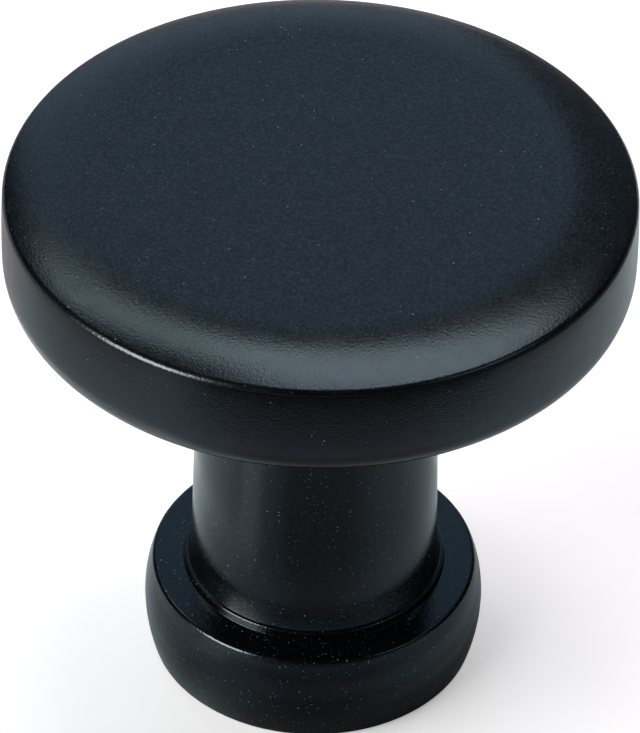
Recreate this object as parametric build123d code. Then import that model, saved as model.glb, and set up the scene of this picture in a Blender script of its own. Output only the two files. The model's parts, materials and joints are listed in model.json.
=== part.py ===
from build123d import *
import math
import os

# A cabinet knob die-cast in one piece: a round crowned head on a plain stem, which flares onto
# a low ring on top of a bulged foot. The foot has a blind tapped hole for the fixing screw.
# Millimetres. The knob is round about Z and its foot sits on Z = 0.

# Head
head_diameter = 32.0  # across the widest line of the side
head_rim_height = 5.7  # from the underside up to the edge round the crown
head_widest_depth = 3.0  # from that edge down to the widest line
head_edge_setback = 0.07  # how far that edge lies inside the widest line
head_edge_radius = 0.35
head_corner_radius = 1.9  # where the side turns under
head_root_bevel = 0.8  # where the underside meets the stem
crown_rise = 0.9  # from the edge up to the flat of the crown
shoulder_width = 4.4  # from the edge in to the flat of the crown

# Stem
stem_length = 18.6  # from the top of the foot to the underside of the head
stem_top_diameter = 12.2
stem_end_diameter = 12.8
flare_height = 0.95  # the stem's last stretch, which curves out to the ring

# Ring round the end of the stem
ring_overhang = 0.36  # how far its edge stands out from the end of the stem
ring_height = 0.45
ring_slope_run = 0.26  # how far its side slopes out on the way down

# Foot
foot_height = 5.15
land_width = 1.4  # flat top from the ring out to the foot's edge
foot_widest_height = 2.75
foot_bulge = 0.42  # how far the side stands out past the foot's edge
seat_inset = 0.41  # how far the side comes back in at the seat
foot_edge_bevel = 0.12
seat_edge_bevel = 0.1

# Tapped hole
screw_diameter = 4.0
thread_pitch = 0.7
thread_depth = 12.0  # full-width length of the hole, from the mouth
drill_point_angle = 118.0
mouth_margin = 0.3  # how far the countersunk mouth reaches past the thread all round

# Levels and radii that follow from the sizes above
ring_level = foot_height + ring_height
underside_level = foot_height + stem_length
head_edge_level = underside_level + head_rim_height
head_widest_level = head_edge_level - head_widest_depth
crown_level = head_edge_level + crown_rise

head_radius = head_diameter / 2
head_edge_reach = head_radius - head_edge_setback
stem_end_reach = stem_end_diameter / 2
ring_edge_reach = stem_end_reach + ring_overhang
ring_root_reach = ring_edge_reach + ring_slope_run
foot_edge_reach = ring_root_reach + land_width
foot_reach = foot_edge_reach + foot_bulge


def turned_section():
    """Half section of the solid knob, on the XZ plane, from the axis out."""
    side_radius = (head_widest_depth**2 + head_edge_setback**2) / (2 * head_edge_setback)
    corner_depth = head_widest_level - underside_level
    corner_reach = head_radius - side_radius + math.sqrt(side_radius**2 - corner_depth**2)

    seat_centre = (0, 0)
    crown_centre = (0, crown_level)
    crown_flat_end = (head_edge_reach - shoulder_width, crown_level)
    head_edge = (head_edge_reach, head_edge_level)
    head_widest = (head_radius, head_widest_level)
    head_corner = (corner_reach, underside_level)
    stem_top = (stem_top_diameter / 2, underside_level)
    stem_end = (stem_end_reach, ring_level + flare_height)
    ring_edge = (ring_edge_reach, ring_level)
    ring_root = (ring_root_reach, foot_height)
    foot_edge = (foot_edge_reach, foot_height)
    foot_widest = (foot_reach, foot_widest_height)
    seat_edge = (foot_reach - seat_inset, 0)
    stem_direction = Vector(stem_end) - Vector(stem_top)

    rounded = [
        (head_edge, head_edge_radius),
        (head_corner, head_corner_radius),
    ]
    bevelled = [
        (stem_top, head_root_bevel),
        (foot_edge, foot_edge_bevel),
        (seat_edge, seat_edge_bevel),
    ]

    with BuildSketch(Plane.XZ) as section:
        with BuildLine():
            Line(seat_centre, crown_centre)
            Line(crown_centre, crown_flat_end)
            TangentArc(crown_flat_end, head_edge, tangent=(1, 0))
            ThreePointArc(head_edge, head_widest, head_corner)
            Polyline(head_corner, stem_top, stem_end)
            TangentArc(stem_end, ring_edge, tangent=stem_direction)
            Polyline(ring_edge, ring_root, foot_edge)
            TangentArc(foot_widest, foot_edge, tangent=(0, 1))
            TangentArc(foot_widest, seat_edge, tangent=(0, -1))
            Line(seat_edge, seat_centre)
        make_face()
        for corner, radius in rounded:
            fillet(section.vertices().sort_by_distance(corner)[0], radius)
        for corner, cut in bevelled:
            chamfer(section.vertices().sort_by_distance(corner)[0], cut)
    return section.sketch


def hole_section():
    """Half section of the tapped hole: countersunk mouth, thread core and drill point."""
    core_reach = (screw_diameter - thread_pitch) / 2
    mouth_reach = screw_diameter / 2 + mouth_margin
    mouth_depth = mouth_reach - core_reach
    point_depth = core_reach / math.tan(math.radians(drill_point_angle / 2))

    with BuildSketch(Plane.XZ) as section:
        with BuildLine():
            Polyline(
                (0, 0),
                (mouth_reach, 0),
                (core_reach, mouth_depth),
                (core_reach, thread_depth),
                (0, thread_depth + point_depth),
                close=True,
            )
        make_face()
    return section.sketch


knob = revolve(turned_section(), axis=Axis.Z) - revolve(hole_section(), axis=Axis.Z)

os.makedirs("parts", exist_ok=True)
export_step(knob, "parts/knob.step")
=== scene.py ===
import json
import math
import bpy
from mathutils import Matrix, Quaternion, Vector


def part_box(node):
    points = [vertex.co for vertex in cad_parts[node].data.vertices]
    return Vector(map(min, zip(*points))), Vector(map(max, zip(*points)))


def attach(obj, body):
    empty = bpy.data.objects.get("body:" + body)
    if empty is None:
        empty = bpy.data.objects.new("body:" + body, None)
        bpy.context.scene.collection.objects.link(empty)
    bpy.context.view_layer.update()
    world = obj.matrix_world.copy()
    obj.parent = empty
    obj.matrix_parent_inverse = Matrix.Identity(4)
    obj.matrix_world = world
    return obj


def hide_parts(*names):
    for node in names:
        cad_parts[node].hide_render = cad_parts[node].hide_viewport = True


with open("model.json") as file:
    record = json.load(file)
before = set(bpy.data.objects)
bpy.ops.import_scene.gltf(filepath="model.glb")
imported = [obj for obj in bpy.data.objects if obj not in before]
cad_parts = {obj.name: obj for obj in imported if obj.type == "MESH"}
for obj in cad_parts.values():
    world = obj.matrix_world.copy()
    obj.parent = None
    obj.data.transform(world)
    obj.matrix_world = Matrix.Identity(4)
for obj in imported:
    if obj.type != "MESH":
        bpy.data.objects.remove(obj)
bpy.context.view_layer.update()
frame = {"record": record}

# Casting: head, stem, ring and foot are one piece of die-cast zinc alloy, round about Z.
# Its half section is drawn from the crown out, down to the seat and up the drilled hole, and is
# spun once round the axis. Its corners have a casting's small radii, and the foot a parting line.
MM = 0.001
knob_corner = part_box("knob")[1]
crown_level = knob_corner.z
head_reach = knob_corner.x

crown_rise = 0.9 * MM
shoulder_width = 4.4 * MM
head_edge_setback = 0.07 * MM
head_widest_depth = 3.0 * MM
head_rim_height = 5.7 * MM
head_edge_radius = 0.42 * MM
head_corner_radius = 1.9 * MM
head_root_radius = 1.3 * MM

stem_top_reach = 6.1 * MM
stem_end_reach = 6.4 * MM
flare_height = 1.4 * MM
flare_swing = 0.2 * MM
ring_overhang = 0.36 * MM
ring_height = 0.45 * MM
ring_slope_run = 0.06 * MM
ring_edge_radius = 0.12 * MM
ring_root_radius = 0.03 * MM

foot_height = 5.15 * MM
land_width = 1.6 * MM
foot_widest_level = 2.75 * MM
foot_bulge = 0.42 * MM
seat_inset = 0.41 * MM
foot_edge_radius = 0.25 * MM
seat_edge_radius = 0.12 * MM
parting_height = 0.004 * MM
parting_half_width = 0.05 * MM

screw_hole = next(m for m in frame["record"]["mounts"] if m["name"] == "screw_hole")
core_reach = screw_hole["dims"]["r_mm"] * MM
mouth_depth = screw_hole["pos_m"][2]
mouth_reach = core_reach + mouth_depth
core_end_level = mouth_depth + screw_hole["dims"]["length_mm"] * MM
drill_point_angle = math.radians(118)
drill_point_depth = core_reach / math.tan(drill_point_angle / 2)

head_edge_level = crown_level - crown_rise
head_edge_reach = head_reach - head_edge_setback
head_widest_level = head_edge_level - head_widest_depth
underside_level = head_edge_level - head_rim_height
crown_flat_reach = head_edge_reach - shoulder_width
ring_level = foot_height + ring_height
flare_level = ring_level + flare_height
ring_edge_reach = stem_end_reach + ring_overhang
ring_root_reach = ring_edge_reach + ring_slope_run
foot_edge_reach = ring_root_reach + land_width
foot_reach = foot_edge_reach + foot_bulge


def arc_radius(run, rise):
    """Radius of an arc that sets off straight along its run and has risen this much at its end."""
    return (run**2 + rise**2) / (2 * rise)


def arc_rise(radius, run):
    """How far such an arc has risen after a part of its run."""
    return radius - math.sqrt(radius**2 - run**2)


def between(first, last, count):
    """Evenly spaced values between two ends, without the ends."""
    return [first + (last - first) * i / (count + 1) for i in range(1, count + 1)]


def rounded(stations, turn_step=math.radians(7)):
    """The section's points, with an arc in place of each station that has a radius."""
    points = []
    for i, (reach, level, radius) in enumerate(stations):
        corner = Vector((reach, level))
        if not radius:
            points.append(corner)
            continue
        back = (Vector(stations[i - 1][:2]) - corner).normalized()
        ahead = (Vector(stations[i + 1][:2]) - corner).normalized()
        half_angle = back.angle(ahead) / 2
        centre = corner + (back + ahead).normalized() * radius / math.sin(half_angle)
        start = corner + back * radius / math.tan(half_angle) - centre
        turn = math.pi - 2 * half_angle
        if back.x * ahead.y - back.y * ahead.x < 0:
            turn = -turn
        steps = math.ceil(abs(turn) / turn_step)
        for k in range(steps + 1):
            angle = -turn * k / steps
            cosine, sine = math.cos(angle), math.sin(angle)
            spoke = Vector((start.x * cosine - start.y * sine, start.x * sine + start.y * cosine))
            points.append(centre + spoke)
    return points


shoulder_radius = arc_radius(shoulder_width, crown_rise)
head_side_radius = arc_radius(head_widest_depth, head_edge_setback)
flare_radius = arc_radius(flare_height, flare_swing)
foot_upper_radius = arc_radius(foot_height - foot_widest_level, foot_bulge)
foot_lower_radius = arc_radius(foot_widest_level, seat_inset)

# Crown, shoulder and rim. Each station is a reach from the axis, a level and a corner radius.
section = [(0, crown_level, 0)]
for reach in between(0, crown_flat_reach, count=3):
    section.append((reach, crown_level, 0))
section.append((crown_flat_reach, crown_level, 0))
for reach in between(crown_flat_reach, head_edge_reach - head_edge_radius, count=15):
    fall = arc_rise(shoulder_radius, reach - crown_flat_reach)
    section.append((reach, crown_level - fall, 0))
section.append((head_edge_reach, head_edge_level, head_edge_radius))
rim_top = head_edge_level - head_edge_radius
rim_bottom = underside_level + head_corner_radius
for level in between(rim_top, rim_bottom, count=6):
    section.append((head_reach - arc_rise(head_side_radius, level - head_widest_level), level, 0))
corner_inset = arc_rise(head_side_radius, underside_level - head_widest_level)
section.append((head_reach - corner_inset, underside_level, head_corner_radius))

# Stem, flare and ring. The radius under the head takes up less than the stem's first tenth.
root_share = 0.1
section.append((stem_top_reach, underside_level, head_root_radius))
for share in between(root_share, 1, count=5):
    reach = stem_top_reach + (stem_end_reach - stem_top_reach) * share
    section.append((reach, underside_level + (flare_level - underside_level) * share, 0))
section.append((stem_end_reach, flare_level, 0))
for level in between(flare_level, ring_level, count=12):
    section.append((stem_end_reach + arc_rise(flare_radius, flare_level - level), level, 0))
section.append((stem_end_reach + flare_swing, ring_level, 0))
section.append((ring_edge_reach, ring_level, ring_edge_radius))
section.append((ring_root_reach, foot_height, ring_root_radius))

# Foot, with the parting line at its widest, then the seat and the hole.
parting_top = foot_widest_level + parting_half_width
parting_bottom = foot_widest_level - parting_half_width
section.append((foot_edge_reach, foot_height, foot_edge_radius))
for level in between(foot_height - foot_edge_radius, parting_top, count=10):
    section.append((foot_reach - arc_rise(foot_upper_radius, level - foot_widest_level), level, 0))
section.append((foot_reach, parting_top, 0))
section.append((foot_reach + parting_height, foot_widest_level, 0))
section.append((foot_reach, parting_bottom, 0))
for level in between(parting_bottom, seat_edge_radius, count=11):
    section.append((foot_reach - arc_rise(foot_lower_radius, level - foot_widest_level), level, 0))
section.append((foot_reach - seat_inset, 0, seat_edge_radius))
section.append((mouth_reach, 0, 0))
section.append((core_reach, mouth_depth, 0))
section.append((core_reach, core_end_level, 0))
section.append((0, core_end_level + drill_point_depth, 0))


def draw_section(name, points):
    """A wire through these reach and level points, on the XZ plane, as a new object in edit mode."""
    bpy.ops.object.select_all(action="DESELECT")
    bpy.ops.mesh.primitive_plane_add(size=MM)
    wire = bpy.context.object
    wire.name = wire.data.name = name
    bpy.ops.object.mode_set(mode="EDIT")
    bpy.ops.mesh.merge(type="CENTER")
    bpy.ops.transform.translate(value=(points[0][0], 0, points[0][1]))
    for here, there in zip(points, points[1:]):
        step = (there[0] - here[0], 0, there[1] - here[1])
        bpy.ops.mesh.extrude_vertices_move(TRANSFORM_OT_translate={"value": step})
    bpy.ops.mesh.select_all(action="SELECT")
    return wire


spin_steps = 256
weld_distance = 0.001 * MM
casting = draw_section("knob_casting", rounded(section))
bpy.ops.mesh.spin(steps=spin_steps, angle=math.tau, center=(0, 0, 0), axis=(0, 0, 1))
bpy.ops.mesh.select_all(action="SELECT")
bpy.ops.mesh.remove_doubles(threshold=weld_distance)
bpy.ops.mesh.normals_make_consistent(inside=False)
bpy.ops.object.mode_set(mode="OBJECT")

# Thread: M4 at a 0.7 mm pitch, cut into the drilled hole by a tap that is turned in from the seat.
# The tap is one tooth of the thread swept up a helix. It is taken from the casting and put away.
thread_pitch = 0.7 * MM
thread_reach = 2.0 * MM
thread_turns = 16
lead_in_turns = 2
steps_per_turn = 48
flank_angle = math.radians(30)
tap_clearance = 0.1 * MM
tap_core_reach = core_reach - tap_clearance
tap_start = -lead_in_turns * thread_pitch
tooth_tip = thread_pitch / 8
tooth_flank = (thread_reach - tap_core_reach) * math.tan(flank_angle)
tooth = [
    (tap_core_reach, tap_start),
    (thread_reach, tap_start + tooth_flank),
    (thread_reach, tap_start + tooth_flank + tooth_tip),
    (tap_core_reach, tap_start + 2 * tooth_flank + tooth_tip),
    (tap_core_reach, tap_start + thread_pitch),
]
tap = draw_section("thread_tap", tooth)
bpy.ops.object.mode_set(mode="OBJECT")
sweep = tap.modifiers.new("turns", "SCREW")
sweep.axis = "Z"
sweep.angle = math.tau
sweep.screw_offset = thread_pitch
sweep.iterations = thread_turns
sweep.steps = sweep.render_steps = steps_per_turn
bpy.ops.object.modifier_apply(modifier=sweep.name)
bpy.ops.object.mode_set(mode="EDIT")
bpy.ops.mesh.select_all(action="SELECT")
bpy.ops.mesh.remove_doubles(threshold=weld_distance)
bpy.ops.mesh.select_all(action="SELECT")
bpy.ops.mesh.fill_holes(sides=0)
bpy.ops.mesh.select_all(action="SELECT")
bpy.ops.mesh.normals_make_consistent(inside=False)
bpy.ops.object.mode_set(mode="OBJECT")

bpy.ops.object.select_all(action="DESELECT")
casting.select_set(True)
bpy.context.view_layer.objects.active = casting
cut = casting.modifiers.new("tapped", "BOOLEAN")
cut.operation = "DIFFERENCE"
cut.solver = "EXACT"
cut.object = tap
bpy.ops.object.modifier_apply(modifier=cut.name)
bpy.data.objects.remove(tap)
crease_angle = math.radians(30)
bpy.ops.object.shade_smooth_by_angle(angle=crease_angle)

# Coat: satin black paint, baked on all over. It dries with a fine orange peel, is a little
# glossier in some places than in others, and has caught specks of pale dust.
black_paint = (0.0006, 0.0007, 0.0010, 1)
cool_sheen = (0.62, 0.88, 1.0, 1)
paint_ior = 1.4
gloss_patch = 0.9 * MM
gloss_noise = (0.3, 0.7)
gloss_roughness = (0.16, 0.21)
head_dullness = 0.05
head_blend_height = 2 * MM
peel_grain = 0.13 * MM
peel_depth = 0.009 * MM

# The pale colour of the dust specks, and of a fine painted sheen grain, tinted blue like the crown's
# reflections.
pale_dust_and_sheen = (0.39, 0.49, 0.64, 1)
dust_and_sheen_grain = 0.15 * MM
dust_and_sheen_noise = (0.37, 0.72)
dust_and_sheen_most = 0.025
dust_and_sheen_share_side = 0.35
dust_and_sheen_share_crown = 1.2
speck_spacing = 0.2 * MM
speck_size = 0.08 * MM
speck_rarity_stem = 4.0
speck_rarity_head = 12.0

paint = bpy.data.materials.new("satin_black_paint")
paint.use_nodes = True
nodes = paint.node_tree.nodes
links = paint.node_tree.links
coat = nodes["Principled BSDF"]
coat.inputs["IOR"].default_value = paint_ior
coat.inputs["Specular Tint"].default_value = cool_sheen
place = nodes.new("ShaderNodeTexCoord").outputs["Object"]


def noise(grain, detail):
    """A noise over the piece whose grain is this many metres across."""
    node = nodes.new("ShaderNodeTexNoise")
    node.inputs["Scale"].default_value = 1 / grain
    node.inputs["Detail"].default_value = detail
    links.new(place, node.inputs["Vector"])
    return node.outputs["Fac"]


def ramp(value, source, result):
    """A value brought from one range to another, and held at the ends."""
    node = nodes.new("ShaderNodeMapRange")
    node.inputs["From Min"].default_value, node.inputs["From Max"].default_value = source
    node.inputs["To Min"].default_value, node.inputs["To Max"].default_value = result
    links.new(value, node.inputs["Value"])
    return node.outputs["Result"]


def combine(operation, first, second):
    """Two values put together."""
    node = nodes.new("ShaderNodeMath")
    node.operation = operation
    links.new(first, node.inputs[0])
    links.new(second, node.inputs[1])
    return node.outputs["Value"]


def specks(spacing, size, rarity):
    """Scattered specks at most this many metres across. The rarer, the fewer of them are bright."""
    node = nodes.new("ShaderNodeTexVoronoi")
    node.inputs["Scale"].default_value = 1 / spacing
    links.new(place, node.inputs["Vector"])
    radius = size / 2 / spacing
    dot = ramp(node.outputs["Distance"], (radius / 2, radius), (1.0, 0.0))
    return combine("MULTIPLY", dot, combine("POWER", node.outputs["Color"], rarity))


# The head has fewer specks than the stem and a duller gloss. Its crown has the most fine grain,
# partly pale dust and partly a painted sheen that stands in for the orange peel's glints.
split = nodes.new("ShaderNodeSeparateXYZ")
links.new(place, split.inputs["Vector"])
surface_level = split.outputs["Z"]
stem_to_head = (underside_level - head_blend_height, underside_level)
edge_to_crown = (head_edge_level, crown_level)
rarity = ramp(surface_level, stem_to_head, (speck_rarity_stem, speck_rarity_head))
dust_and_sheen_share = ramp(surface_level, edge_to_crown, (dust_and_sheen_share_side, dust_and_sheen_share_crown))
# Fine grain in the colour: partly pale dust, partly painted sheen for the glints of the orange peel.
fine_dust_and_sheen = ramp(noise(dust_and_sheen_grain, detail=1.0), dust_and_sheen_noise, (0.0, dust_and_sheen_most))
coarse_dust = specks(speck_spacing, speck_size, rarity)
dust_and_sheen = combine("MAXIMUM", combine("MULTIPLY", fine_dust_and_sheen, dust_and_sheen_share), coarse_dust)
tone = nodes.new("ShaderNodeMix")
tone.data_type = "RGBA"
tone.inputs["A"].default_value = black_paint
tone.inputs["B"].default_value = pale_dust_and_sheen
links.new(dust_and_sheen, tone.inputs["Factor"])
links.new(tone.outputs["Result"], coat.inputs["Base Color"])

dullness = ramp(surface_level, stem_to_head, (0.0, head_dullness))
roughness = ramp(noise(gloss_patch, detail=2.0), gloss_noise, gloss_roughness)
links.new(combine("ADD", dullness, roughness), coat.inputs["Roughness"])

peel = nodes.new("ShaderNodeBump")
peel.inputs["Strength"].default_value = 1.0
peel.inputs["Distance"].default_value = peel_depth
links.new(noise(peel_grain, detail=1.0), peel.inputs["Height"])
links.new(peel.outputs["Normal"], coat.inputs["Normal"])

casting.data.materials.clear()
casting.data.materials.append(paint)
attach(casting, "root")
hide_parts("knob")

# Floor: a sheet of plain white paper that the knob stands on. Grey and black cards lie on it round
# the knob and show only in reflections, so that the paint mirrors a darker room than bare paper.
# Their shades are painted shadow, and in places painted light, on the floor round the knob.
paper_size = 6
paper_level = -0.02 * MM
paper_white = (0.93, 0.93, 0.93)
paper_glow = (0.38, 0.38, 0.38, 1)
card_level = -0.01 * MM
card_steps = 48


def paper(name, colour):
    """Matt paper of one colour."""
    sheet = bpy.data.materials.new(name)
    sheet.use_nodes = True
    face = sheet.node_tree.nodes["Principled BSDF"]
    face.inputs["Base Color"].default_value = (*colour, 1)
    face.inputs["Roughness"].default_value = 1
    face.inputs["Specular IOR Level"].default_value = 0
    return sheet


bpy.ops.object.select_all(action="DESELECT")
bpy.ops.mesh.primitive_plane_add(size=paper_size, location=(0, 0, paper_level))
floor = bpy.context.object
floor.name = "floor"
white_paper = paper("white_paper", paper_white)
floor.data.materials.append(white_paper)

# The paper glows a little where it is seen, straight or mirrored, so that it stays white.
sheet_tree = white_paper.node_tree
face = sheet_tree.nodes["Principled BSDF"]
face.inputs["Emission Color"].default_value = paper_glow
ray = sheet_tree.nodes.new("ShaderNodeLightPath").outputs
seen = ray["Is Camera Ray"]
for kind in ("Is Glossy Ray", "Is Transmission Ray"):
    either = sheet_tree.nodes.new("ShaderNodeMath")
    sheet_tree.links.new(seen, either.inputs[0])
    sheet_tree.links.new(ray[kind], either.inputs[1])
    seen = either.outputs["Value"]
sheet_tree.links.new(seen, face.inputs["Emission Strength"])


def card(name, inner, outer, shades):
    """A flat card cut to part of a ring round the knob, which only reflections show.

    A shade is an azimuth in degrees, which turns from behind to the right, and the colour there:
    painted shadow of the floor where it is dark, painted light where it is pale.
    """
    first, last = shades[0][0], shades[-1][0]
    bpy.ops.object.select_all(action="DESELECT")
    bpy.ops.mesh.primitive_grid_add(x_subdivisions=card_steps, y_subdivisions=1, size=1)
    sheet = bpy.context.object
    sheet.name = name
    for vertex in sheet.data.vertices:
        around = math.radians(first + (last - first) * (vertex.co.x + 0.5))
        reach = inner + (outer - inner) * (vertex.co.y + 0.5)
        vertex.co = (reach * math.sin(around), reach * math.cos(around), card_level)
    board = paper(name, shades[0][1])
    sheet.data.materials.append(board)
    sheet.visible_camera = False
    sheet.visible_diffuse = False
    sheet.visible_shadow = False

    tree = board.node_tree
    along = tree.nodes.new("ShaderNodeSeparateXYZ")
    tree.links.new(tree.nodes.new("ShaderNodeTexCoord").outputs["UV"], along.inputs["Vector"])
    blend = tree.nodes.new("ShaderNodeValToRGB")
    tree.links.new(along.outputs["X"], blend.inputs["Fac"])
    stops = blend.color_ramp.elements
    for azimuth, colour in shades[1:-1]:
        stops.new((azimuth - first) / (last - first)).color = (*colour, 1)
    stops[0].color = (*shades[0][1], 1)
    stops[-1].color = (*shades[-1][1], 1)
    tree.links.new(blend.outputs["Color"], tree.nodes["Principled BSDF"].inputs["Base Color"])


# The cards' shades: dark ones are painted shadow on the floor or a dark room far off, pale ones
# painted light.
black = (0.03, 0.03, 0.03)
slate = (0.31, 0.35, 0.36)
dark = (0.37, 0.35, 0.37)
middle = (0.53, 0.50, 0.52)
warm = (0.70, 0.58, 0.64)
grey = (0.52, 0.61, 0.62)
pale = (0.68, 0.80, 0.81)
light = (0.79, 0.93, 0.94)
# Mostly a painted contact shadow on the floor close round the foot, seen only in reflections.
card("contact_shadow_card", inner=8 * MM, outer=10 * MM, shades=[
    (15, slate), (135, slate), (160, dark), (185, dark), (200, middle), (211, pale), (222, light),
    (236, grey), (345, grey), (375, slate),
])
card("skirt_card", inner=10 * MM, outer=12.5 * MM, shades=[
    (15, grey), (125, grey), (145, middle), (165, dark), (180, dark), (197, middle), (208, pale),
    (222, light), (238, grey), (255, pale), (345, pale), (375, grey),
])
card("foot_card", inner=12.5 * MM, outer=17 * MM, shades=[
    (15, light), (115, light), (140, pale), (160, warm), (190, warm), (208, light), (245, light),
    (268, pale), (290, light), (375, light),
])
card("near_card", inner=17 * MM, outer=35 * MM, shades=[
    (45, light), (80, pale), (125, grey), (150, dark), (200, dark), (226, light),
])
card("left_card", inner=18.5 * MM, outer=30 * MM, shades=[
    (243, light), (270, light), (325, pale),
])
card("head_card", inner=35 * MM, outer=51 * MM, shades=[
    (15, pale), (60, pale), (95, light), (135, light), (158, warm), (195, warm), (215, light),
    (240, light), (268, grey), (292, grey), (320, middle), (375, middle),
])
card("outer_card", inner=51 * MM, outer=100 * MM, shades=[
    (60, pale), (90, dark), (118, dark), (132, black), (212, black), (226, light), (238, middle),
    (260, dark), (300, middle), (375, middle),
])
card("far_card", inner=100 * MM, outer=350 * MM, shades=[
    (40, black), (205, black), (226, grey), (310, grey), (320, middle), (375, middle),
])

# Studio light: a soft box over and behind the knob with a smaller one on its left, two dim panels
# behind, and a strip that lights the paper from the left. A low lamp on the left and a weak one on
# the right are seen only in the paint, where they draw the bright lines along the edges.
white = (1.0, 1.0, 1.0)
rose = (1.0, 0.92, 0.95)
amber = (1.0, 0.8, 0.72)
sky_blue = (0.56, 0.76, 1.0)
room_dark = (0.03, 0.03, 0.03, 1)


def panel(name, azimuth, elevation, distance, size, radiance, colour, turn=0):
    """A rectangular soft light that faces the knob. Azimuths are as for the cards."""
    around, above = math.radians(azimuth), math.radians(elevation)
    direction = Vector(
        (math.sin(around) * math.cos(above), math.cos(around) * math.cos(above), math.sin(above))
    )
    lamp = bpy.data.lights.new(name, "AREA")
    lamp.shape = "RECTANGLE"
    lamp.size, lamp.size_y = size
    lamp.energy = radiance * math.pi * lamp.size * lamp.size_y
    lamp.color = colour
    stand = bpy.data.objects.new(name, lamp)
    stand.location = direction * distance
    facing = direction.to_track_quat("Z", "Y")
    stand.rotation_euler = (facing @ Quaternion((0, 0, 1), math.radians(turn))).to_euler()
    stand.visible_camera = False
    bpy.context.scene.collection.objects.link(stand)
    return stand


panel(
    "overhead_box", azimuth=34.7, elevation=72.8, distance=0.83,
    size=(0.53, 0.42), radiance=5.3, colour=rose, turn=31.2,
)
panel(
    "left_box", azimuth=-34, elevation=57.4, distance=0.83,
    size=(0.38, 0.2), radiance=3.5, colour=white, turn=-56,
)
panel(
    "back_panel", azimuth=-8.4, elevation=26.8, distance=1.0,
    size=(0.62, 0.78), radiance=0.72, colour=sky_blue,
)
panel(
    "right_back_panel", azimuth=24, elevation=28, distance=1.0,
    size=(0.5, 0.8), radiance=0.14, colour=sky_blue,
)
left_strip = panel(
    "left_strip", azimuth=-116, elevation=50, distance=0.8,
    size=(0.6, 0.28), radiance=7.0, colour=white,
)
left_strip.visible_glossy = False
edge_lamp = panel(
    "edge_lamp", azimuth=-122, elevation=17, distance=0.8,
    size=(0.42, 0.42), radiance=28.0, colour=amber,
)
edge_lamp.visible_diffuse = False
right_lamp = panel(
    "right_lamp", azimuth=118, elevation=38, distance=0.8,
    size=(0.4, 0.24), radiance=1.3, colour=white,
)
right_lamp.visible_diffuse = False

world = bpy.data.worlds.new("studio")
world.use_nodes = True
world.node_tree.nodes["Background"].inputs["Color"].default_value = room_dark
bpy.context.scene.world = world

# Camera: a long lens about 0.32 m from the head, which looks down on the crown at some 40 degrees
# and is turned a little about its own axis.
camera_place = Vector((0, -0.2511, 0.2279))
aim_place = Vector((0.00013, 0, 0.01788))
camera_roll = math.radians(1.1275)
lens = bpy.data.cameras.new("camera")
lens.sensor_width = 36
lens.lens = 314.5
lens.clip_start = 0.01
camera = bpy.data.objects.new("camera", lens)
camera.location = camera_place
level_turn = (aim_place - camera_place).to_track_quat("-Z", "Y")
camera.rotation_euler = (level_turn @ Quaternion((0, 0, 1), camera_roll)).to_euler()
bpy.context.scene.collection.objects.link(camera)
bpy.context.scene.camera = camera
bpy.context.scene.view_settings.view_transform = "Standard"
